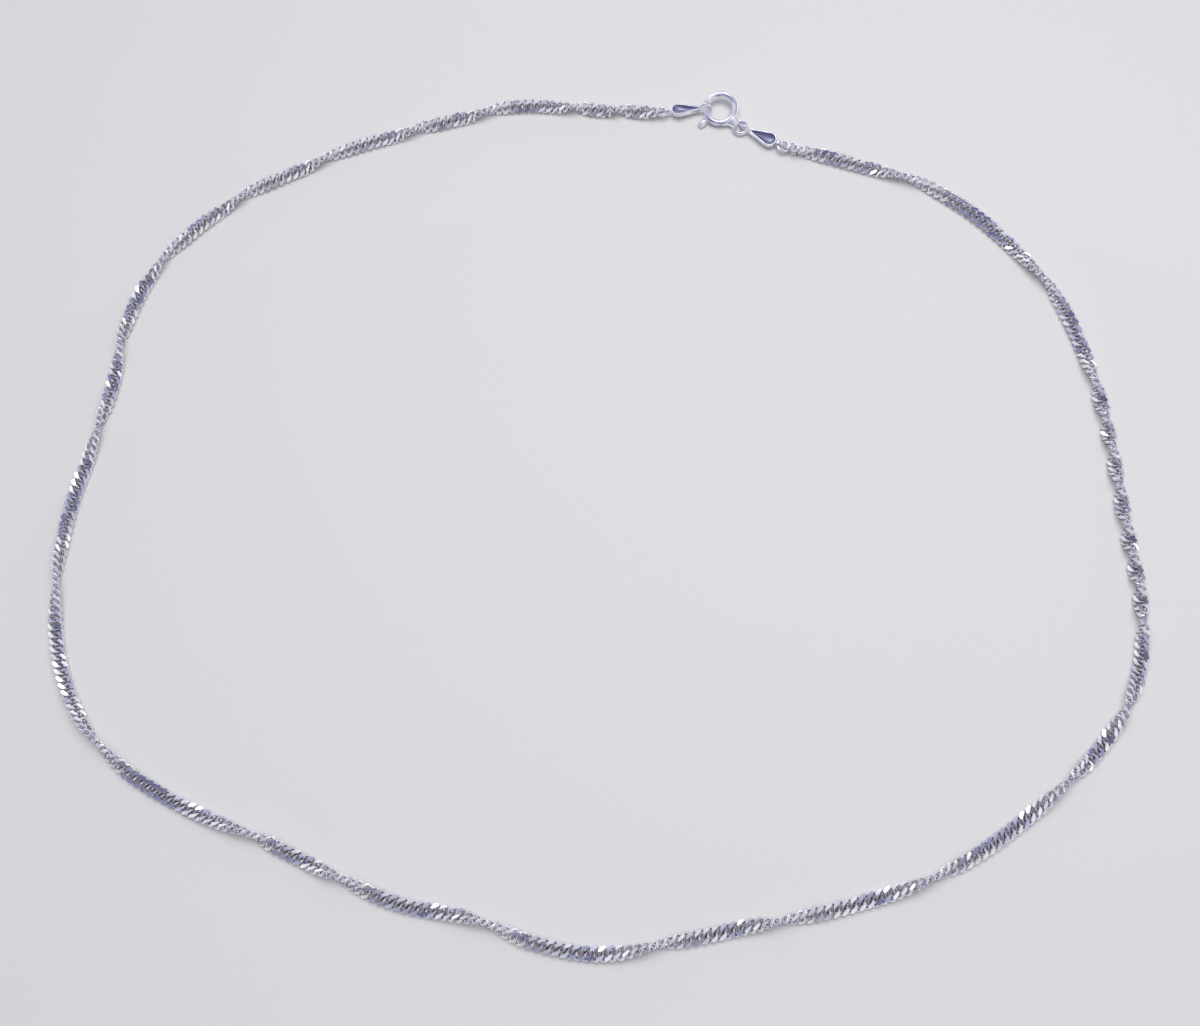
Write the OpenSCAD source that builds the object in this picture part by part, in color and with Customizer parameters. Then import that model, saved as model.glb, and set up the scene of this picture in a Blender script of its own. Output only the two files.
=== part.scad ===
// Twisted curb chain necklace, closed by a spring ring and lying in a loop on a flat surface.
// Sizes are in millimetres. +Z is up, the clasp is at the back (+Y), and the origin is on the
// surface under the middle of the loop.

/* [Chain] */
// Width of the flat curb band, which is the diameter of the round path that it twists in
band_w = 2.2; // [1.8:0.1:2.3]
// Diameter of the wire that the links are bent from
link_wire = 0.48; // [0.4:0.02:0.5]
// Length of one link over its wire's centre line
link_len = 1.64; // [1.5:0.02:1.7]

/* [Spring ring] */
// Radius of the ring's centre line
ring_r = 2.3; // [2.2:0.05:2.4]
// Outside diameter of the ring's hollow shell
shell_d = 1.1; // [1:0.02:1.14]
// Thickness of the shell
shell_wall = 0.16; // [0.12:0.01:0.18]
// Angle where the gate in the shell begins, counted from +X
gate_from = 150; // [148:1:156]
// Angle where the gate in the shell ends
gate_to = 198; // [194:1:200]
// Diameter of the bolt that slides through the shell and closes the gate
bolt_d = 0.6; // [0.5:0.02:0.6]
// Angle of the trigger with the gate closed
trigger_at = 217; // [216:1:222]
// Angle that the trigger slides to open the gate
trigger_travel = 54; // [50:1:56]
// Reach of the trigger from the ring's centre
trigger_reach = 4.2; // [3.8:0.05:4.25]

/* [Eyelet] */
// Angle of the soldered eyelet on the ring
eyelet_at = 312; // [308:1:316]
// Distance of the eyelet's centre from the ring's centre
eyelet_out = 4.4; // [4.3:0.05:4.5]
// Radius of the eyelet's centre line
eyelet_r = 0.95; // [0.9:0.05:1]
// Diameter of the eyelet's wire
eyelet_wire = 0.6; // [0.5:0.02:0.6]

/* [Tags] */
// Radius of the centre line of the upright eye at a tag's narrow end
eye_r = 0.88; // [0.85:0.01:0.95]
// Diameter of the eye's wire
eye_wire = 0.4; // [0.34:0.02:0.44]
// Distance from the eye's centre to the end of the tag's cup
tag_len = 5.3; // [5:0.1:5.6]
// Width of the cup at its wide end
tag_w = 2.4; // [2.2:0.1:2.6]
// Width of the neck next to the eye
neck_w = 0.84; // [0.7:0.02:0.9]
// Height of the cup
cup_h = 0.8; // [0.7:0.05:0.9]
// Width of the cup's rim
rim_w = 0.28; // [0.22:0.02:0.34]
// Depth of the cup's hollow
cup_depth = 0.5; // [0.3:0.05:0.55]
// Thickness of the upright lug that holds the last link
lug_t = 0.5; // [0.4:0.05:0.6]
// Diameter of the hole through the lug
lug_hole = 0.74; // [0.7:0.02:0.8]
// Turn of the left tag about its own length, away from the middle of the loop
tag_left_roll = 16; // [0:1:20]

/* [Hidden] */
silver = "silver";
fine = 96;

// Points of the chain's route, [x, y], from the left tag round the front to the right tag
route = [
    [9.5, 62.6], [0, 63.5], [-12, 64.5], [-27, 61], [-37, 58], [-46, 54], [-54.5, 49.5], [-61.5, 43.5],
    [-67, 36.5], [-70, 27.5], [-71, 17.5], [-73, 7.5], [-75, -2], [-75.5, -13], [-74, -23.5], [-69.5, -33],
    [-62.5, -40], [-53, -45.5], [-43, -49.5], [-33.5, -54], [-24, -58], [-14, -60], [-6, -63], [3, -64.5],
    [12, -63], [21.5, -61], [30, -59.5], [42.5, -56], [51, -52], [60, -45.5], [68.5, -37.5], [74, -28.5],
    [75.5, -18], [74.5, -6.5], [72.5, 13], [68, 28.5], [59.5, 40.5], [49.5, 48.5], [38, 53], [30, 55.25]
];
// Rings of the chain's tube between two points of the route, and sides of the tube
rings_per_step = 2;
tube_sides = 8;

// Places of the ring and the tags, with their height worked out from what they rest on
eye_z = eye_r + eye_wire / 2;
ring_at = [19.5, 62.7, eye_z + 0.17];
ring_tilt = [12, -5, 0];
tag_left_at = [17.2, 62.9, eye_z];
tag_left_turn = 182;
tag_right_at = [23.25, 59, eye_z];
tag_right_turn = -29;

// Sizes that follow from the ones above
shell_bore = shell_d - 2 * shell_wall;
shell_span = 360 - (gate_to - gate_from);
bolt_entry = 7;
bolt_tail = 9;
stem_d = 0.42;
slot_h = 0.62;
slot_margin = 8;
thumb_d = 0.8;
ball_step = 0.04;
thumb_from = ring_r + shell_d / 2 + 0.12;
neck_h = 0.54;
neck_in = 0.1;
neck_from = 1;
neck_to = 0.5;
neck_at = 1.2;
cup_at = tag_len - tag_w / 2;
dish_r = 3.2;
lug_r = 0.66;
lug_at = tag_len + 0.45;
lug_drop = 0.02;
link_at = lug_at + link_len / 2;

// Point at share u of the way from p1 to p2, on the smooth curve through p0, p1, p2 and p3
function between(p0, p1, p2, p3, u) =
    0.5 * (2 * p1 + u * (p2 - p0) + u * u * (2 * p0 - 5 * p1 + 4 * p2 - p3)
        + u * u * u * (3 * p1 - p0 - 3 * p2 + p3));

// Route point i, with one more point in line beyond each end
function stop_at(i) =
    i < 0 ? 2 * route[0] - route[1]
    : i > len(route) - 1 ? 2 * route[len(route) - 1] - route[len(route) - 2]
    : route[i];

function line_at(t) =
    let (i = min(floor(t), len(route) - 2))
    between(stop_at(i - 1), stop_at(i), stop_at(i + 1), stop_at(i + 2), t - i);

function unit(v) = v / norm(v);

// Corners of the tube's ring at place t of the route, with flats at its bottom and top
function ring_points(t) =
    let (
        here = line_at(t),
        along = unit(line_at(t + 0.02) - line_at(t - 0.02)),
        reach = band_w / 2 / cos(180 / tube_sides)
    )
    [
        for (k = [0 : tube_sides - 1])
            let (a = (k + 0.5) * 360 / tube_sides)
            [
                here.x + reach * cos(a) * along.y,
                here.y - reach * cos(a) * along.x,
                band_w / 2 + reach * sin(a)
            ]
    ];

// The whole chain as one closed tube along its route
module chain() {
    ring_count = (len(route) - 1) * rings_per_step + 1;
    points = [for (i = [0 : ring_count - 1]) each ring_points(i / rings_per_step)];
    sides = [
        for (i = [0 : ring_count - 2], k = [0 : tube_sides - 1])
            let (a = i * tube_sides + k, b = i * tube_sides + (k + 1) % tube_sides)
            [a, b, b + tube_sides, a + tube_sides]
    ];
    first_cap = [for (k = [tube_sides - 1 : -1 : 0]) k];
    last_cap = [for (k = [0 : tube_sides - 1]) (ring_count - 1) * tube_sides + k];
    color(silver)
        polyhedron(points = points, faces = concat([first_cap, last_cap], sides), convexity = 10);
}

// A ring of round wire, lying flat
module wire_ring(r, wire) {
    rotate_extrude($fn = fine)
        translate([r, 0])
            circle(d = wire, $fn = 32);
}

// Points of an arc of radius r round [x, 0], from one angle to another
function arc_points(x, r, from, to, steps) =
    [
        for (i = [0 : steps])
            let (a = from + (to - from) * i / steps)
            [x + r * cos(a), r * sin(a)]
    ];

// Outline of a tag's cup, made smaller all round by inset
module cup_outline(inset) {
    wide = tag_w / 2 - inset;
    narrow = neck_w / 2 - inset;
    lean = asin((wide - narrow) / (cup_at - neck_at));
    polygon(concat(
        arc_points(cup_at, wide, -90 - lean, 90 + lean, 36),
        arc_points(neck_at, narrow, 90 + lean, 270 - lean, 12)
    ));
}

// Stamped tag: an upright eye, a cup shaped as a drop with a raised rim, and an upright lug
module tag() {
    difference() {
        union() {
            rotate([90, 0, 0])
                wire_ring(eye_r, eye_wire);
            translate([0, 0, -cup_h / 2])
                linear_extrude(cup_h)
                    cup_outline(0);
            translate([lug_at, lug_t / 2, -lug_drop])
                rotate([90, 0, 0])
                    cylinder(h = lug_t, r = lug_r, $fn = fine);
        }
        intersection() {
            translate([0, 0, -cup_h / 2])
                linear_extrude(2 * cup_h)
                    cup_outline(rim_w);
            translate([cup_at, 0, cup_h / 2 - cup_depth + dish_r])
                sphere(r = dish_r, $fn = fine);
        }
        translate([lug_at, lug_t, -lug_drop])
            rotate([90, 0, 0])
                cylinder(h = 2 * lug_t, d = lug_hole, $fn = fine);
    }
}

// The last link, lying flat through the tag's lug
module end_link() {
    translate([link_at, 0, -lug_drop])
        wire_ring(link_len / 2, link_wire);
}

module tag_left() {
    color(silver)
        translate(tag_left_at)
            rotate([tag_left_roll, 0, tag_left_turn])
                tag();
}

module tag_right() {
    color(silver)
        translate(tag_right_at)
            rotate([0, 0, tag_right_turn])
                tag();
}

module end_link_left() {
    color(silver)
        translate(tag_left_at)
            rotate([tag_left_roll, 0, tag_left_turn])
                end_link();
}

module end_link_right() {
    color(silver)
        translate(tag_right_at)
            rotate([0, 0, tag_right_turn])
                end_link();
}

// Hollow shell of the spring ring, slotted for the trigger, with its eyelet soldered on
module shell() {
    difference() {
        rotate_extrude(angle = shell_span, start = gate_to, $fn = fine)
            translate([ring_r, 0])
                difference() {
                    circle(d = shell_d, $fn = 48);
                    circle(d = shell_bore, $fn = 48);
                }
        rotate_extrude(angle = trigger_travel + 2 * slot_margin, start = trigger_at - slot_margin, $fn = fine)
            translate([ring_r, -slot_h / 2])
                square([shell_d, slot_h]);
    }
    rotate([0, 0, eyelet_at]) {
        translate([0, 0, -neck_h / 2])
            linear_extrude(neck_h)
                polygon([
                    [ring_r + neck_in, -neck_from],
                    [ring_r + neck_in, neck_from],
                    [eyelet_out - eyelet_r, neck_to],
                    [eyelet_out - eyelet_r, -neck_to]
                ]);
        translate([eyelet_out, 0, 0])
            wire_ring(eyelet_r, eyelet_wire);
    }
}

module spring_ring() {
    color(silver)
        translate(ring_at)
            rotate(ring_tilt)
                shell();
}

// Curved bolt with a round tip, and the trigger that stands out through the shell's slot
module bolt() {
    rotate_extrude(
        angle = trigger_at + bolt_tail - (gate_from - bolt_entry), start = gate_from - bolt_entry, $fn = fine
    )
        translate([ring_r, 0])
            circle(d = bolt_d, $fn = 32);
    rotate([0, 0, gate_from - bolt_entry])
        translate([ring_r, 0, 0])
            sphere(d = bolt_d - ball_step, $fn = 32);
    rotate([0, 0, trigger_at]) {
        translate([ring_r, 0, 0])
            rotate([0, 90, 0])
                cylinder(h = thumb_from - ring_r + 0.1, d = stem_d, $fn = 32);
        translate([thumb_from, 0, 0])
            rotate([0, 90, 0])
                cylinder(h = trigger_reach - thumb_from - thumb_d / 2, d = thumb_d, $fn = 32);
        translate([trigger_reach - thumb_d / 2, 0, 0])
            sphere(d = thumb_d - ball_step, $fn = 32);
    }
}

module ring_bolt() {
    color(silver)
        translate(ring_at)
            rotate(ring_tilt)
                bolt();
}

chain();
end_link_left();
end_link_right();
tag_left();
tag_right();
spring_ring();
ring_bolt();
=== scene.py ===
# Necklace of twisted curb links, laid in a loop and closed by a spring ring.
import math
import random

import bmesh
import bpy
from mathutils import Matrix, Vector


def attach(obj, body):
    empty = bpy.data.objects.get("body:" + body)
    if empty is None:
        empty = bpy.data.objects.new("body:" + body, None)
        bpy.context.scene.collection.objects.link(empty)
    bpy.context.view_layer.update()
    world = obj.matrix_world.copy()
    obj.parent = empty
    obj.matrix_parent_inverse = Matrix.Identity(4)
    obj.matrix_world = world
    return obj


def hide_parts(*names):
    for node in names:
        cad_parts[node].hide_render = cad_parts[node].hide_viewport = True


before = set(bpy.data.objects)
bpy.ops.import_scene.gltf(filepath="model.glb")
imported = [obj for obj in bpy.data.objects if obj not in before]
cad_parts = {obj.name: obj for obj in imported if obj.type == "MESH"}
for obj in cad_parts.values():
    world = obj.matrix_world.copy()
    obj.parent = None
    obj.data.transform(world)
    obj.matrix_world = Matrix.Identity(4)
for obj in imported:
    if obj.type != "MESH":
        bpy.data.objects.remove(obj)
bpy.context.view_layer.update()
mm = 0.001
facing = 0.9  # a face looks along an axis when its normal has at least this much of it


def deselectAll():
    if bpy.context.object and bpy.context.object.mode != "OBJECT":
        bpy.ops.object.mode_set(mode="OBJECT")
    bpy.ops.object.select_all(action="DESELECT")


def activate(obj):
    deselectAll()
    obj.select_set(True)
    bpy.context.view_layer.objects.active = obj


def applyModifiers(obj):
    activate(obj)
    for modifier in list(obj.modifiers):
        bpy.ops.object.modifier_apply(modifier=modifier.name)


def applyPlace(obj):
    activate(obj)
    bpy.ops.object.transform_apply(location=True, rotation=True, scale=True)


def startEdit(obj):
    activate(obj)
    bpy.ops.object.mode_set(mode="EDIT")
    bpy.ops.mesh.select_all(action="DESELECT")


def pickFaces(obj, wanted):
    bpy.ops.mesh.select_all(action="DESELECT")
    bpy.ops.mesh.select_mode(type="FACE")
    mesh = bmesh.from_edit_mesh(obj.data)
    for face in mesh.faces:
        face.select_set(wanted(face.calc_center_median(), face.normal))
    bmesh.update_edit_mesh(obj.data)


def pickPoints(obj, wanted):
    bpy.ops.mesh.select_all(action="DESELECT")
    bpy.ops.mesh.select_mode(type="VERT")
    mesh = bmesh.from_edit_mesh(obj.data)
    for vertex in mesh.verts:
        vertex.select_set(wanted(vertex.co))
    mesh.select_flush(True)
    bmesh.update_edit_mesh(obj.data)


def faceOutwards():
    bpy.ops.mesh.select_all(action="SELECT")
    bpy.ops.mesh.normals_make_consistent(inside=False)


def joinPieces(main, *others):
    activate(main)
    for other in others:
        if not other.data.materials:
            other.data.materials.append(main.data.materials[0])
        other.select_set(True)
    bpy.ops.object.join()


# Camera, at the photo's angle

cameraSettings = {
    "place": (22.3, -99.1, 243.1),  # mm from the middle of the loop
    "elevation": 68,
    "azimuth": 12,
    "roll": -12,
    "lens": 55.6,
    "sensor": 36,
    "nearest": 0.01,  # m, the closest thing that the camera shows
}


def addCamera(s):
    deselectAll()
    bpy.ops.object.camera_add()
    camera = bpy.context.object
    camera.name = "photoCamera"
    turn = (
        Matrix.Rotation(math.radians(s["azimuth"]), 4, "Z")
        @ Matrix.Rotation(math.radians(90 - s["elevation"]), 4, "X")
        @ Matrix.Rotation(math.radians(s["roll"]), 4, "Z")
    )
    camera.matrix_world = Matrix.Translation(Vector(s["place"]) * mm) @ turn
    camera.data.lens = s["lens"]
    camera.data.sensor_width = s["sensor"]
    camera.data.sensor_fit = "HORIZONTAL"
    camera.data.clip_start = s["nearest"]
    bpy.context.scene.camera = camera


addCamera(cameraSettings)
print("camera placed")


# Materials

def newMaterial(name):
    material = bpy.data.materials.new(name)
    material.use_nodes = True
    shader = material.node_tree.nodes["Principled BSDF"]
    return material, material.node_tree.nodes, material.node_tree.links, shader


def noiseNode(nodes, links, coords, scale, detail):
    noise = nodes.new("ShaderNodeTexNoise")
    noise.inputs["Scale"].default_value = scale
    noise.inputs["Detail"].default_value = detail
    links.new(coords, noise.inputs["Vector"])
    return noise


def rampNode(nodes, links, value, stops):
    ramp = nodes.new("ShaderNodeValToRGB")
    ramp.color_ramp.elements[0].position = stops[0][0]
    ramp.color_ramp.elements[0].color = (*stops[0][1], 1)
    ramp.color_ramp.elements[1].position = stops[-1][0]
    ramp.color_ramp.elements[1].color = (*stops[-1][1], 1)
    for place, colour in stops[1:-1]:
        stop = ramp.color_ramp.elements.new(place)
        stop.color = (*colour, 1)
    links.new(value, ramp.inputs["Fac"])
    return ramp


def rangeNode(nodes, links, value, low, high, start=0, end=1):
    span = nodes.new("ShaderNodeMapRange")
    span.inputs["From Min"].default_value = start
    span.inputs["From Max"].default_value = end
    span.inputs["To Min"].default_value = low
    span.inputs["To Max"].default_value = high
    links.new(value, span.inputs["Value"])
    return span


def mixNode(nodes, links, share, first, second):
    # the node's sockets for colours are numbers 6 and 7, and 2 on the way out
    mix = nodes.new("ShaderNodeMix")
    mix.data_type = "RGBA"
    links.new(share, mix.inputs[0])
    links.new(first, mix.inputs[6])
    mix.inputs[7].default_value = (*second, 1)
    return mix.outputs[2]


def addBump(nodes, links, height, strength, depth, shader):
    bump = nodes.new("ShaderNodeBump")
    bump.inputs["Strength"].default_value = strength
    bump.inputs["Distance"].default_value = depth * mm
    links.new(height, bump.inputs["Height"])
    links.new(bump.outputs["Normal"], shader.inputs["Normal"])


silverPattern = {  # the same on all the silver
    "patchDetail": 4,
    "patchSpan": (0.35, 0.6),  # of the patches' noise, from dull to bright
    "scratchDetail": 3,
    "scratchDepth": 0.02,  # mm
}


def silverMaterial(name, s):
    material, nodes, links, shader = newMaterial(name)
    coords = nodes.new("ShaderNodeTexCoord").outputs["Object"]
    patches = noiseNode(nodes, links, coords, s["patch"], silverPattern["patchDetail"])
    low, high = silverPattern["patchSpan"]
    ramp = rampNode(nodes, links, patches.outputs["Fac"], [(low, s["dull"]), (high, s["bright"])])
    colour = ramp.outputs["Color"]
    # painted shade: where a piece marks its points, the colour goes towards this darker one
    if "paintedShade" in s:
        paintedShade = nodes.new("ShaderNodeAttribute")
        paintedShade.attribute_name = "paintedShade"
        colour = mixNode(nodes, links, paintedShade.outputs["Fac"], colour, s["paintedShade"])
    links.new(colour, shader.inputs["Base Color"])
    scratches = noiseNode(nodes, links, coords, s["scratch"], silverPattern["scratchDetail"])
    rough = rangeNode(nodes, links, scratches.outputs["Fac"], *s["roughness"])
    links.new(rough.outputs["Result"], shader.inputs["Roughness"])
    addBump(nodes, links, scratches.outputs["Fac"], s["bump"], silverPattern["scratchDepth"], shader)
    shader.inputs["Metallic"].default_value = 1
    return material


chainSilverSettings = {
    "bright": (0.92, 0.93, 0.97),
    "dull": (0.73, 0.74, 0.80),
    "paintedShade": (0.56, 0.53, 0.57),  # painted shade inside the band, where the links hide each other from the light
    "roughness": (0.06, 0.16),
    "patch": 900,  # noise scale, per metre
    "scratch": 6000,
    "bump": 0.06,
}
claspSilverSettings = {
    "bright": (0.93, 0.93, 0.96),
    "dull": (0.70, 0.70, 0.77),
    "roughness": (0.10, 0.24),
    "patch": 500,
    "scratch": 4500,
    "bump": 0.08,
}
shadedHollowSilverSettings = {  # the matt hollow of the tags, its colour made dark and bluish as painted shade in the hollow
    "bright": (0.38, 0.38, 0.52),
    "dull": (0.21, 0.22, 0.36),
    "roughness": (0.26, 0.42),
    "patch": 700,
    "scratch": 9000,
    "bump": 0.2,
}
litSolderSilverSettings = {  # the frosted joint of the eyelet, its colour lifted above the clasp's silver as a painted highlight
    "bright": (0.99, 0.99, 1.0),
    "dull": (0.90, 0.90, 0.95),
    "roughness": (0.30, 0.44),
    "patch": 900,
    "scratch": 7000,
    "bump": 0.12,
}
chainSilver = silverMaterial("chainSilver", chainSilverSettings)
claspSilver = silverMaterial("claspSilver", claspSilverSettings)
litSolderSilver = silverMaterial("litSolderSilver", litSolderSilverSettings)
shadedHollowSilver = silverMaterial("shadedHollowSilver", shadedHollowSilverSettings)
print("silver mixed")


# Chain of twisted curb links

link = {
    "wire": 0.53,  # mm, as all the sizes here
    "sides": 6,
    "steps": 4,  # round a quarter of the link
    "end": (0.865, 0, 0),  # the wire's centre line at an end of the link
    "endPull": (0, 0.70, -0.48),  # from there to the curve's handle
    "side": (0, 0.82, 0),  # and at the middle of a side
    "sidePull": (-0.16, 0, 0.64),
    "cut": 0.43,  # height of the flat cuts above the band's middle
    "cutAcross": 0.55,  # measured this far from the band's line
    "cutLean": 6,  # degrees, outwards
    "cutMatch": 0.9999,  # a face belongs to a cut when its normal has this much of the cut's
    "paintedShadeFrom": 0.72,  # distance from the band's middle line inside which the wire gets painted shade
    "paintedShadeFade": 0.35,
}
chain = {
    "count": 375,
    "halfThick": 0.45,
    "halfWide": 1.07,
    "corner": 0.15,  # radius of the band's section
    "lift": 0.06,  # air under the band
    "endHeight": 1.1,  # of the chain's middle, where it meets the end links
    "endReach": 4,  # mm from each end, over which the chain comes down from that height
    "loose": (3, 1.5),  # degrees that a link may turn by itself, along and across the band
    "seed": 7,
    "flip": 0.65,  # how much quicker the band turns over where it stands on its edge
    "stepsPerStretch": 16,
    "smooth": 2,  # steps on each side over which the band's turn is evened out
    # how the first and the last link settle in the end links: degrees about each axis, then mm
    "settled": {
        0: {"turn": (5.2, 1.9, 4.8), "move": (-0.05, -0.11, -0.03)},
        374: {"turn": (21, -3, 0), "move": (0, 0, 0.1)},
    },
}
# The route of the chain, in mm, as in the CAD source
route = [
    (9.5, 62.6), (0, 63.5), (-12, 64.5), (-27, 61), (-37, 58), (-46, 54),
    (-54.5, 49.5), (-61.5, 43.5), (-67, 36.5), (-70, 27.5), (-71, 17.5), (-73, 7.5),
    (-75, -2), (-75.5, -13), (-74, -23.5), (-69.5, -33), (-62.5, -40), (-53, -45.5),
    (-43, -49.5), (-33.5, -54), (-24, -58), (-14, -60), (-6, -63), (3, -64.5),
    (12, -63), (21.5, -61), (30, -59.5), (42.5, -56), (51, -52), (60, -45.5),
    (68.5, -37.5), (74, -28.5), (75.5, -18), (74.5, -6.5), (72.5, 13), (68, 28.5),
    (59.5, 40.5), (49.5, 48.5), (38, 53), (30, 55.25),
]
# Places along the route, in mm, where the viewer sees the band's edge. The band makes half a turn
# from each place to the next.
edgeOn = [
    0, 6, 12.5, 27, 38, 53, 67, 82.5, 98, 111, 136, 161, 187.5, 200.5, 221.5, 244.5,
    260.5, 281, 303.5, 316.5, 329.5, 334, 338.5, 343, 349, 354.5, 359, 364.5, 383, 410, 426.9,
]


def between(p0, p1, p2, p3, u):
    return 0.5 * (2 * p1 + u * (p2 - p0) + u * u * (2 * p0 - 5 * p1 + 4 * p2 - p3)
                  + u ** 3 * (3 * p1 - p0 - 3 * p2 + p3))


def routePoints(steps):
    stops = [Vector(p) for p in route]
    stops = [2 * stops[0] - stops[1], *stops, 2 * stops[-1] - stops[-2]]
    points = [
        between(*stops[i:i + 4], k / steps)
        for i in range(len(stops) - 3)
        for k in range(steps)
    ]
    return points + [stops[-2]]


def bandRoll(place, flip):
    # turn of the band about its own line, in degrees, from where it faces the viewer
    turns = 0
    for i in range(len(edgeOn) - 1):
        if place >= edgeOn[i]:
            part = min(1, (place - edgeOn[i]) / (edgeOn[i + 1] - edgeOn[i]))
            turns = i + part + flip * math.sin(2 * math.pi * part) / (2 * math.pi)
    return 90 - 180 * turns


def evenOut(values, reach):
    means = []
    for i in range(len(values)):
        near = values[max(0, i - reach):i + reach + 1]
        means.append(sum(near) / len(near))
    return means


def makeRouteCurve(s):
    points = routePoints(s["stepsPerStretch"])
    places = [0.0]
    for a, b in zip(points, points[1:]):
        places.append(places[-1] + (b - a).length)
    rolls = []
    for i, place in enumerate(places):
        heading = (points[min(i + 1, len(points) - 1)] - points[max(i - 1, 0)]).normalized()
        toViewer = Vector(cameraSettings["place"]) - points[i].to_3d()
        lean = math.atan2(toViewer.x * heading.y - toViewer.y * heading.x, toViewer.z)
        rolls.append(bandRoll(place, s["flip"]) + math.degrees(lean))
    rolls = evenOut(rolls, s["smooth"])
    heights = []
    for place, roll in zip(places, rolls):
        angle = math.radians(roll)
        flatShare = (s["halfThick"] - s["corner"]) * abs(math.cos(angle))
        edgeShare = (s["halfWide"] - s["corner"]) * abs(math.sin(angle))
        height = s["corner"] + s["lift"] + (flatShare + edgeShare)
        fromEnd = min(place, places[-1] - place) / s["endReach"]
        heights.append(s["endHeight"] + (height - s["endHeight"]) * min(1, fromEnd))
    curveData = bpy.data.curves.new("chainRoute", "CURVE")
    curveData.dimensions = "3D"
    curveData.twist_mode = "Z_UP"
    spline = curveData.splines.new("POLY")
    spline.points.add(len(points) - 1)
    for stop, point, roll, height in zip(spline.points, points, rolls, heights):
        stop.co = (point.x * mm, point.y * mm, height * mm, 1)
        stop.tilt = math.radians(roll)
    curveObject = bpy.data.objects.new("chainRoute", curveData)
    bpy.context.collection.objects.link(curveObject)
    line = [stop.co.to_3d() / mm for stop in spline.points]
    length = sum((b - a).length for a, b in zip(line, line[1:]))
    print("chain route is", round(length, 1), "mm long")
    return curveObject, length


def makeLinkWire(s):
    # a closed curve of four points, each with its handles, given the wire's thickness and made a mesh
    deselectAll()
    bpy.ops.curve.primitive_bezier_circle_add(radius=1)
    piece = bpy.context.object
    piece.name = "curbLinks"
    end, endPull, side, sidePull = (Vector(s[n]) for n in ("end", "endPull", "side", "sidePull"))
    half = Matrix.Rotation(math.pi, 3, "Z")
    stops = [(end, endPull), (side, sidePull)]
    stops += [(half @ place, half @ pull) for place, pull in stops]
    for point, (place, pull) in zip(piece.data.splines[0].bezier_points, stops):
        point.handle_left_type = point.handle_right_type = "FREE"
        point.co = place
        point.handle_left = place - pull
        point.handle_right = place + pull
    piece.data.resolution_u = s["steps"]
    piece.data.bevel_depth = s["wire"] / 2
    piece.data.bevel_resolution = (s["sides"] - 4) // 2
    bpy.ops.object.convert(target="MESH")
    return bpy.context.object


def cutLink(piece, s, up, side):
    # one flat cut on one row of the band: only the wire on that side and face is selected
    lean = math.radians(s["cutLean"])
    normal = Vector((0, side * math.sin(lean), up * math.cos(lean)))
    bpy.ops.object.mode_set(mode="EDIT")
    mesh = bmesh.from_edit_mesh(piece.data)
    for face in mesh.faces:
        centre = face.calc_center_median()
        face.select_set(centre.z * up > 0 and centre.y * side > 0)
    bmesh.update_edit_mesh(piece.data)
    bpy.ops.mesh.bisect(
        plane_co=(0, side * s["cutAcross"], up * s["cut"]), plane_no=normal,
        use_fill=True, clear_outer=True,
    )
    mesh = bmesh.from_edit_mesh(piece.data)
    for face in mesh.faces:
        isCut = face.normal.dot(normal) > s["cutMatch"]
        face.select_set(isCut)
        if isCut:
            face.smooth = False
    bmesh.update_edit_mesh(piece.data)
    bpy.ops.mesh.region_to_loop()
    bpy.ops.mesh.mark_sharp()
    bpy.ops.object.mode_set(mode="OBJECT")


def makeLink(s):
    piece = makeLinkWire(s)
    activate(piece)
    bpy.ops.object.shade_smooth()
    bpy.ops.object.mode_set(mode="EDIT")
    faceOutwards()
    bpy.ops.object.mode_set(mode="OBJECT")
    for up in (1, -1):
        for side in (1, -1):
            cutLink(piece, s, up, side)
    # painted shade: the wire is marked darker the nearer it lies to the band's middle line, deep
    # among the links
    paintedShade = piece.data.attributes.new("paintedShade", "FLOAT", "POINT")
    for vertex, mark in zip(piece.data.vertices, paintedShade.data):
        outwards = math.hypot(vertex.co.y, vertex.co.z)
        mark.value = min(1, max(0, (s["paintedShadeFrom"] - outwards) / s["paintedShadeFade"]))
    print("link has", len(piece.data.polygons), "faces")
    return piece


def settleLink(s):
    # a link's own turn and move, from where it hangs in the row
    x, y, z = (math.radians(angle) for angle in s["turn"])
    turn = Matrix.Rotation(x, 4, "X") @ Matrix.Rotation(y, 4, "Y") @ Matrix.Rotation(z, 4, "Z")
    return Matrix.Translation(s["move"]) @ turn


def makeChain(s):
    curveObject, length = makeRouteCurve(s)
    pitch = length / (s["count"] - 1)
    piece = makeLink(link)
    perLink = len(piece.data.vertices)
    row = piece.modifiers.new("row", "ARRAY")
    row.count = s["count"]
    row.use_relative_offset = False
    row.use_constant_offset = True
    row.constant_offset_displace = (pitch, 0, 0)
    applyModifiers(piece)
    rng = random.Random(s["seed"])
    looseAlong, looseAcross = s["loose"]
    vertices = piece.data.vertices
    for i in range(s["count"]):
        centre = Matrix.Translation((i * pitch, 0, 0))
        turn = (
            Matrix.Rotation(math.radians(rng.uniform(-1, 1) * looseAlong), 4, "X")
            @ Matrix.Rotation(math.radians(rng.uniform(-1, 1) * looseAcross), 4, "Y")
        )
        if i in s["settled"]:
            turn = turn @ settleLink(s["settled"][i])
        move = centre @ turn @ centre.inverted()
        for vertex in vertices[i * perLink:(i + 1) * perLink]:
            vertex.co = (move @ vertex.co) * mm
    bend = piece.modifiers.new("bend", "CURVE")
    bend.object = curveObject
    bend.deform_axis = "POS_X"
    applyModifiers(piece)
    bpy.data.objects.remove(curveObject)
    piece.data.materials.clear()
    piece.data.materials.append(chainSilver)
    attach(piece, "necklace")
    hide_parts("chain")


makeChain(chain)
print("chain made")


# Tags: an upright eye, a cup shaped as a drop with a dished hollow, and an upright lug

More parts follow.
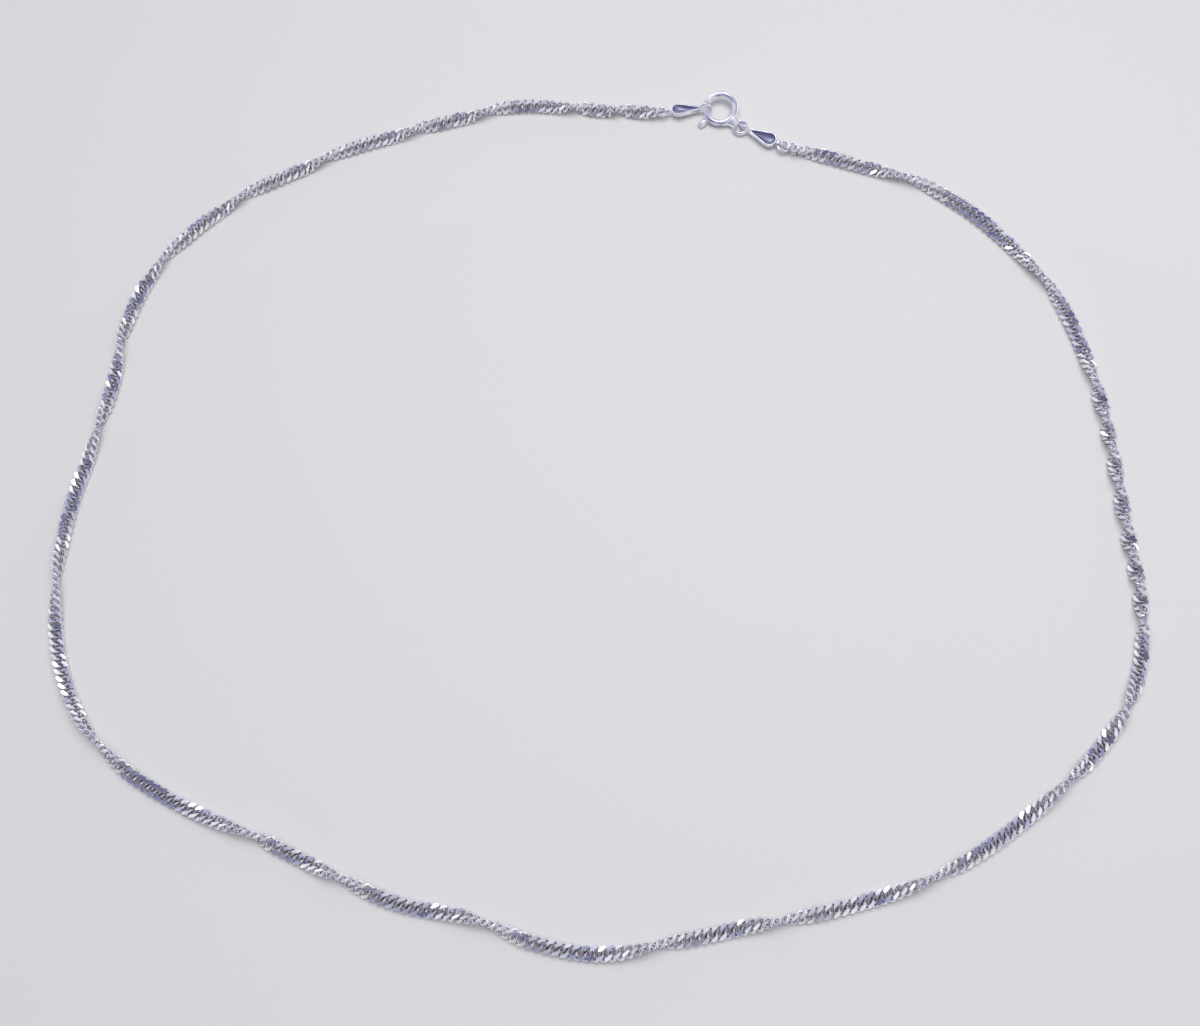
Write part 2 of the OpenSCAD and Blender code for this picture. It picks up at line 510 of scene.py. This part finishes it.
tag = {
    "eyeRadius": 0.88,  # mm, as all the sizes here, from the middle of the eye
    "eyeWire": 0.4,
    "eyeSteps": 40,
    "eyeSides": 14,
    "eyeSpread": 1.5,  # how much wider the eye gets where it runs into the cup
    "eyeSpreadFrom": 0.8,  # share of the eye's radius where that starts
    "neckAt": 1.2,
    "neckWidth": 0.84,
    "cupAt": 4.1,
    "cupWidth": 2.4,
    "cupHeight": 0.8,
    "cupSides": 48,
    "rim": 0.28,
    "rimRound": 0.1,
    "rimSteps": 3,
    "rimTrue": 0.001,  # mm by which the rim's face may be off the cup's height
    "underRound": 0.3,
    "underSteps": 4,
    # rings of the hollow: their share of the rim's inner edge, and their depth
    "hollow": [(0.97, 0.14), (0.90, 0.28), (0.78, 0.40), (0.60, 0.49), (0.38, 0.54), (0.16, 0.56)],
    "hollowFrom": 0.02,  # mm below the rim
    "hollowFacing": 0.02,  # how much of their normal its faces have upwards, at least
    "lugAt": 5.75,
    "lugRadius": 0.66,
    "lugThick": 0.5,
    "lugHole": 0.74,
    "lugSides": 32,
    "lugDrop": 0.02,
    "lugRound": 0.08,
    "lugSteps": 2,
    "smoothAngle": 38,
}
tagPlaces = {
    "tag_left": {"name": "tagLeft", "at": (17.2, 62.9, 1.08), "roll": 16, "turn": 182},
    "tag_right": {"name": "tagRight", "at": (23.25, 59, 1.08), "roll": 0, "turn": -29},
}


def makeCup(s):
    wide, narrow, top = s["cupWidth"] / 2, s["neckWidth"] / 2, s["cupHeight"] / 2
    middle = Vector((s["cupAt"], 0, top))
    deselectAll()
    bpy.ops.mesh.primitive_circle_add(
        vertices=s["cupSides"], radius=wide, fill_type="NGON", location=middle
    )
    cup = bpy.context.object
    applyPlace(cup)
    startEdit(cup)
    # the half of the outline towards the eye is made smaller and drawn out to the neck
    touching = wide * (wide - narrow) / (s["cupAt"] - s["neckAt"])
    pickPoints(cup, lambda place: place.x < middle.x - touching)
    bpy.ops.transform.resize(value=(narrow / wide, narrow / wide, 1), center_override=middle)
    bpy.ops.transform.translate(value=(s["neckAt"] - s["cupAt"], 0, 0))
    pickFaces(cup, lambda centre, normal: True)
    bpy.ops.mesh.extrude_region_move(TRANSFORM_OT_translate={"value": (0, 0, -s["cupHeight"])})
    faceOutwards()
    pickFaces(cup, lambda centre, normal: normal.z < -facing)
    bpy.ops.mesh.region_to_loop()
    bpy.ops.mesh.bevel(offset=s["underRound"], segments=s["underSteps"], affect="EDGES")
    pickFaces(cup, lambda centre, normal: normal.z > facing)
    bpy.ops.mesh.inset(thickness=s["rim"])
    # the hollow goes down in rings that close in on the middle of the wide end
    lastShare, lastDepth = 1, 0
    for share, depth in s["hollow"]:
        bpy.ops.mesh.extrude_region_move(TRANSFORM_OT_translate={"value": (0, 0, lastDepth - depth)})
        bpy.ops.transform.resize(
            value=(share / lastShare, share / lastShare, 1),
            center_override=(middle.x, 0, top - depth),
        )
        lastShare, lastDepth = share, depth
    # the hollow's faces get the darker silver, painted shade
    pickFaces(cup, lambda centre, normal: (
        normal.z > s["hollowFacing"] and centre.z < top - s["hollowFrom"]
    ))
    cup.data.materials.append(claspSilver)
    cup.data.materials.append(shadedHollowSilver)
    cup.active_material_index = 1
    bpy.ops.object.material_slot_assign()
    pickFaces(cup, lambda centre, normal: normal.z > facing and centre.z > top - s["rimTrue"])
    bpy.ops.mesh.region_to_loop()
    bpy.ops.mesh.bevel(offset=s["rimRound"], segments=s["rimSteps"], affect="EDGES")
    bpy.ops.object.mode_set(mode="OBJECT")
    return cup


def makeEye(s):
    deselectAll()
    bpy.ops.mesh.primitive_torus_add(
        major_segments=s["eyeSteps"], minor_segments=s["eyeSides"],
        major_radius=s["eyeRadius"], minor_radius=s["eyeWire"] / 2, rotation=(math.pi / 2, 0, 0),
    )
    eye = bpy.context.object
    applyPlace(eye)
    startEdit(eye)
    pickPoints(eye, lambda place: place.x > s["eyeSpreadFrom"] * s["eyeRadius"])
    bpy.ops.transform.resize(value=(1, s["eyeSpread"], 1), center_override=(0, 0, 0))
    bpy.ops.object.mode_set(mode="OBJECT")
    return eye


def makeLug(s):
    deselectAll()
    bpy.ops.mesh.primitive_cylinder_add(
        vertices=s["lugSides"], radius=s["lugRadius"], depth=s["lugThick"],
        rotation=(math.pi / 2, 0, 0), location=(s["lugAt"], 0, -s["lugDrop"]),
    )
    lug = bpy.context.object
    applyPlace(lug)
    startEdit(lug)
    pickFaces(lug, lambda centre, normal: abs(normal.y) > facing)
    bpy.ops.mesh.inset(thickness=s["lugRadius"] - s["lugHole"] / 2)
    bpy.ops.mesh.bridge_edge_loops()
    faceOutwards()
    pickFaces(lug, lambda centre, normal: abs(normal.y) > facing)
    bpy.ops.mesh.region_to_loop()
    bpy.ops.mesh.bevel(offset=s["lugRound"], segments=s["lugSteps"], affect="EDGES")
    bpy.ops.object.mode_set(mode="OBJECT")
    return lug


def makeTag(s):
    cup = makeCup(s)
    joinPieces(cup, makeEye(s), makeLug(s))
    bpy.ops.object.shade_smooth_by_angle(angle=math.radians(s["smoothAngle"]))
    return cup


def placeTag(piece, node, s):
    piece.name = s["name"]
    angle, roll = math.radians(s["turn"]), math.radians(s["roll"])
    turn = Matrix.Rotation(angle, 4, "Z") @ Matrix.Rotation(roll, 4, "X")
    piece.matrix_world = Matrix.Scale(mm, 4) @ Matrix.Translation(s["at"]) @ turn
    applyPlace(piece)
    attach(piece, "necklace")
    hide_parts(node)


firstTag = makeTag(tag)
activate(firstTag)
bpy.ops.object.duplicate()
secondTag = bpy.context.object
placeTag(firstTag, "tag_left", tagPlaces["tag_left"])
placeTag(secondTag, "tag_right", tagPlaces["tag_right"])
print("tags made, with", len(firstTag.data.polygons), "faces each")


# Spring ring: a hollow shell with a gate and a slot, and an eyelet soldered on

springRing = {
    "at": (19.5, 62.7, 1.25),
    "tilt": (12, -5),  # degrees about X, then Y
    "radius": 2.3,
    "shell": 1.1,
    "wall": 0.16,
    "sides": 32,
    "gate": (150, 198),  # degrees round the ring
    "stepAngle": 4,
    "slot": (209, 279),
    "slotHeight": 0.62,
    "slotInner": 0.25,  # height within which the slot's edge lies on the inside of the wall
    "slotSpread": 1.5,  # how much that edge is spread, so that the slot's sides are straight
    "eyeletAt": 312,
    "eyeletOut": 4.4,
    "eyeletRadius": 0.95,
    "eyeletWire": 0.6,
    "eyeletSteps": 44,
    "eyeletSides": 16,
    # the solder between ring and eyelet: place out from the ring's middle, half width, half height
    "solder": [
        (2.35, 1.18, 0.48), (2.55, 1.18, 0.52), (2.72, 1.09, 0.52), (2.90, 0.99, 0.51),
        (3.10, 0.92, 0.50), (3.30, 0.88, 0.48), (3.50, 0.82, 0.45), (3.66, 0.70, 0.39),
        (3.78, 0.52, 0.28),
    ],
    "smoothAngle": 40,
}


def ringAngle(place):
    return math.degrees(math.atan2(place.y, place.x)) % 360


def placeOnRing(piece, s):
    tiltX, tiltY = (math.radians(angle) for angle in s["tilt"])
    turn = Matrix.Rotation(tiltY, 4, "Y") @ Matrix.Rotation(tiltX, 4, "X")
    piece.matrix_world = Matrix.Scale(mm, 4) @ Matrix.Translation(s["at"]) @ turn
    applyPlace(piece)


def makeShell(s):
    deselectAll()
    bpy.ops.mesh.primitive_circle_add(
        vertices=s["sides"], radius=s["shell"] / 2, rotation=(math.pi / 2, 0, 0),
        location=(s["radius"], 0, 0),
    )
    shell = bpy.context.object
    shell.data.materials.append(claspSilver)
    applyPlace(shell)
    span = 360 - (s["gate"][1] - s["gate"][0])
    bpy.ops.object.mode_set(mode="EDIT")
    bpy.ops.mesh.select_all(action="SELECT")
    bpy.ops.mesh.spin(
        steps=round(span / s["stepAngle"]), angle=-math.radians(span),
        center=(0, 0, 0), axis=(0, 0, 1),
    )
    faceOutwards()
    bpy.ops.object.mode_set(mode="OBJECT")
    shell.rotation_euler.z = math.radians(s["gate"][1])
    applyPlace(shell)
    startEdit(shell)
    pickFaces(shell, lambda centre, normal: (
        s["slot"][0] < ringAngle(centre) < s["slot"][1]
        and abs(centre.z) < s["slotHeight"] / 2 and centre.xy.length > s["radius"]
    ))
    bpy.ops.mesh.delete(type="FACE")
    bpy.ops.object.mode_set(mode="OBJECT")
    wall = shell.modifiers.new("wall", "SOLIDIFY")
    wall.thickness = s["wall"]
    wall.offset = -1
    applyModifiers(shell)
    startEdit(shell)
    pickPoints(shell, lambda place: (
        s["slot"][0] < ringAngle(place) < s["slot"][1]
        and abs(place.z) < s["slotInner"] and place.xy.length > s["radius"]
        and math.hypot(place.xy.length - s["radius"], place.z) < (s["shell"] - s["wall"]) / 2
    ))
    bpy.ops.transform.resize(value=(1, 1, s["slotSpread"]), center_override=(0, 0, 0))
    bpy.ops.object.mode_set(mode="OBJECT")
    return shell


def makeEyelet(s):
    deselectAll()
    bpy.ops.mesh.primitive_torus_add(
        major_segments=s["eyeletSteps"], minor_segments=s["eyeletSides"],
        major_radius=s["eyeletRadius"], minor_radius=s["eyeletWire"] / 2,
        location=(s["eyeletOut"], 0, 0),
    )
    eyelet = bpy.context.object
    eyelet.data.materials.append(claspSilver)
    applyPlace(eyelet)
    # the solder starts as a disc in the shell and is drawn out to the eyelet
    lastPlace, lastWidth, lastHeight = s["solder"][0]
    deselectAll()
    bpy.ops.mesh.primitive_circle_add(
        vertices=s["sides"], radius=1, fill_type="NGON", rotation=(0, math.pi / 2, 0),
        location=(lastPlace, 0, 0),
    )
    solder = bpy.context.object
    # the solder's silver is lighter than the clasp's, a painted highlight
    solder.data.materials.append(litSolderSilver)
    applyPlace(solder)
    bpy.ops.object.mode_set(mode="EDIT")
    bpy.ops.mesh.select_all(action="SELECT")
    bpy.ops.transform.resize(value=(1, lastWidth, lastHeight), center_override=(lastPlace, 0, 0))
    for place, width, height in s["solder"][1:]:
        bpy.ops.mesh.extrude_region_move(TRANSFORM_OT_translate={"value": (place - lastPlace, 0, 0)})
        bpy.ops.transform.resize(
            value=(1, width / lastWidth, height / lastHeight), center_override=(place, 0, 0)
        )
        lastPlace, lastWidth, lastHeight = place, width, height
    faceOutwards()
    bpy.ops.object.mode_set(mode="OBJECT")
    joinPieces(eyelet, solder)
    eyelet.rotation_euler.z = math.radians(s["eyeletAt"])
    applyPlace(eyelet)
    return eyelet


def makeSpringRing(s):
    piece = makeShell(s)
    joinPieces(piece, makeEyelet(s))
    bpy.ops.object.shade_smooth_by_angle(angle=math.radians(s["smoothAngle"]))
    piece.name = "springRing"
    placeOnRing(piece, s)
    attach(piece, "necklace")
    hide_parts("spring_ring")
    print("spring ring has", len(piece.data.polygons), "faces")


makeSpringRing(springRing)


# Knob of the trigger, a round stub that the thumb pushes

knob = {
    "angle": 217,  # degrees round the ring, as the trigger's
    "from": 2.97,  # out from the ring's middle
    "to": 4.2,
    "width": 0.96,
    "sides": 32,
    "innerRound": 0.1,
    "outerRound": 0.3,
    "roundSteps": 5,
    "smoothAngle": 30,
}


def makeKnob(s):
    deselectAll()
    bpy.ops.mesh.primitive_cylinder_add(
        vertices=s["sides"], radius=s["width"] / 2, depth=s["to"] - s["from"],
        rotation=(0, math.pi / 2, 0), location=((s["from"] + s["to"]) / 2, 0, 0),
    )
    piece = bpy.context.object
    applyPlace(piece)
    startEdit(piece)
    for side, size in ((-1, s["innerRound"]), (1, s["outerRound"])):
        pickFaces(piece, lambda centre, normal: normal.x * side > facing)
        bpy.ops.mesh.region_to_loop()
        bpy.ops.mesh.bevel(offset=size, segments=s["roundSteps"], affect="EDGES")
    bpy.ops.object.mode_set(mode="OBJECT")
    bpy.ops.object.shade_smooth_by_angle(angle=math.radians(s["smoothAngle"]))
    piece.rotation_euler.z = math.radians(s["angle"])
    applyPlace(piece)
    piece.name = "triggerKnob"
    placeOnRing(piece, springRing)
    piece.data.materials.append(claspSilver)
    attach(piece, "bolt")


makeKnob(knob)


# The CAD parts that stay as they are, with their metal

shownParts = {"end_link_left": chainSilver, "end_link_right": chainSilver, "ring_bolt": claspSilver}
for name, material in shownParts.items():
    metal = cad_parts[name].data.materials
    metal.clear()
    metal.append(material)
print("clasp finished")


# Floor and light

studio = {
    "paper": {
        "size": 12,  # m
        "colour": (0.76, 0.752, 0.745),
        "roughness": 0.9,
        "grain": 700,  # noise scale, per metre
        "grainDetail": 3,
        "grainBump": 0.03,
        "grainDepth": 0.1,  # mm
    },
    "backdrop": (0.45, 0.45, 0.465),
    # the window only shows in the metal, and the daylight and the lamp only light the paper
    "window": {  # metres and watts
        "place": (-0.06, 0.34, 0.50), "size": (0.24, 0.17), "power": 0.35, "colour": (1, 0.98, 0.95),
    },
    "daylight": {"strength": 0.93, "angle": 48},
    "lamp": {
        "place": (0.055, 0.05, 0.33), "size": (0.30, 0.30), "power": 0.57, "colour": (1, 1, 1),
    },
    # the room round the table, darker and lighter in broad patches, by the patches' noise
    "room": [
        (0.34, (0.17, 0.18, 0.36)), (0.41, (0.42, 0.43, 0.63)), (0.47, (0.67, 0.68, 0.82)),
        (0.53, (0.93, 0.93, 1.0)), (0.60, (1.16, 1.14, 1.14)), (0.68, (1.6, 1.55, 1.5)),
    ],
    "roomPatch": 1.25,
    "roomDetail": 1,
    "roomTurn": (2.73, 0.82, 7.29),
    "frontShade": 0.7,  # share of the light that comes from the viewer's side
    "frontSpan": (-0.7, 0.1),  # along Y, from there to where the full light starts
    "onPaper": 0.45,  # share of the room's light that reaches the paper
}


def addFloor(s):
    deselectAll()
    bpy.ops.mesh.primitive_plane_add(size=s["size"])
    floor = bpy.context.object
    floor.name = "floor"
    material, nodes, links, shader = newMaterial("paper")
    coords = nodes.new("ShaderNodeTexCoord").outputs["Object"]
    grain = noiseNode(nodes, links, coords, s["grain"], s["grainDetail"])
    addBump(nodes, links, grain.outputs["Fac"], s["grainBump"], s["grainDepth"], shader)
    shader.inputs["Base Color"].default_value = (*s["colour"], 1)
    shader.inputs["Roughness"].default_value = s["roughness"]
    shader.inputs["Specular IOR Level"].default_value = 0
    floor.data.materials.append(material)


def addAreaLight(name, s, inMetal):
    data = bpy.data.lights.new(name, "AREA")
    data.shape = "RECTANGLE"
    data.size, data.size_y = s["size"]
    data.energy = s["power"]
    data.color = s["colour"]
    light = bpy.data.objects.new(name, data)
    bpy.context.collection.objects.link(light)
    place = Vector(s["place"])
    aim = (-place).to_track_quat("-Z", "Y").to_matrix().to_4x4()  # at the middle of the loop
    light.matrix_world = Matrix.Translation(place) @ aim
    light.visible_glossy = inMetal
    light.visible_diffuse = not inMetal


def addDaylight(s):
    data = bpy.data.lights.new("daylight", "SUN")
    data.energy = s["strength"]
    data.angle = math.radians(s["angle"])
    light = bpy.data.objects.new("daylight", data)
    bpy.context.collection.objects.link(light)
    light.visible_glossy = False


def setWorld(s):
    world = bpy.data.worlds.new("studio")
    bpy.context.scene.world = world
    world.use_nodes = True
    nodes, links = world.node_tree.nodes, world.node_tree.links
    coords = nodes.new("ShaderNodeTexCoord").outputs["Generated"]
    shift = nodes.new("ShaderNodeMapping")
    shift.inputs["Location"].default_value = s["roomTurn"]
    links.new(coords, shift.inputs["Vector"])
    patches = noiseNode(nodes, links, shift.outputs["Vector"], s["roomPatch"], s["roomDetail"])
    ramp = rampNode(nodes, links, patches.outputs["Fac"], s["room"])
    split = nodes.new("ShaderNodeSeparateXYZ")
    links.new(coords, split.inputs["Vector"])
    shade = rangeNode(nodes, links, split.outputs["Y"], s["frontShade"], 1, *s["frontSpan"])
    shaded = nodes.new("ShaderNodeVectorMath")
    shaded.operation = "SCALE"
    links.new(ramp.outputs["Color"], shaded.inputs[0])
    links.new(shade.outputs["Result"], shaded.inputs["Scale"])
    rays = nodes.new("ShaderNodeLightPath")
    colour = mixNode(
        nodes, links, rays.outputs["Is Camera Ray"], shaded.outputs["Vector"], s["backdrop"]
    )
    paper = rangeNode(nodes, links, rays.outputs["Is Diffuse Ray"], 1, s["onPaper"])
    links.new(colour, nodes["Background"].inputs["Color"])
    links.new(paper.outputs["Result"], nodes["Background"].inputs["Strength"])


addFloor(studio["paper"])
addAreaLight("window", studio["window"], True)
addAreaLight("lamp", studio["lamp"], False)
addDaylight(studio["daylight"])
setWorld(studio)
bpy.context.scene.view_settings.view_transform = "Standard"
print("floor and light set")
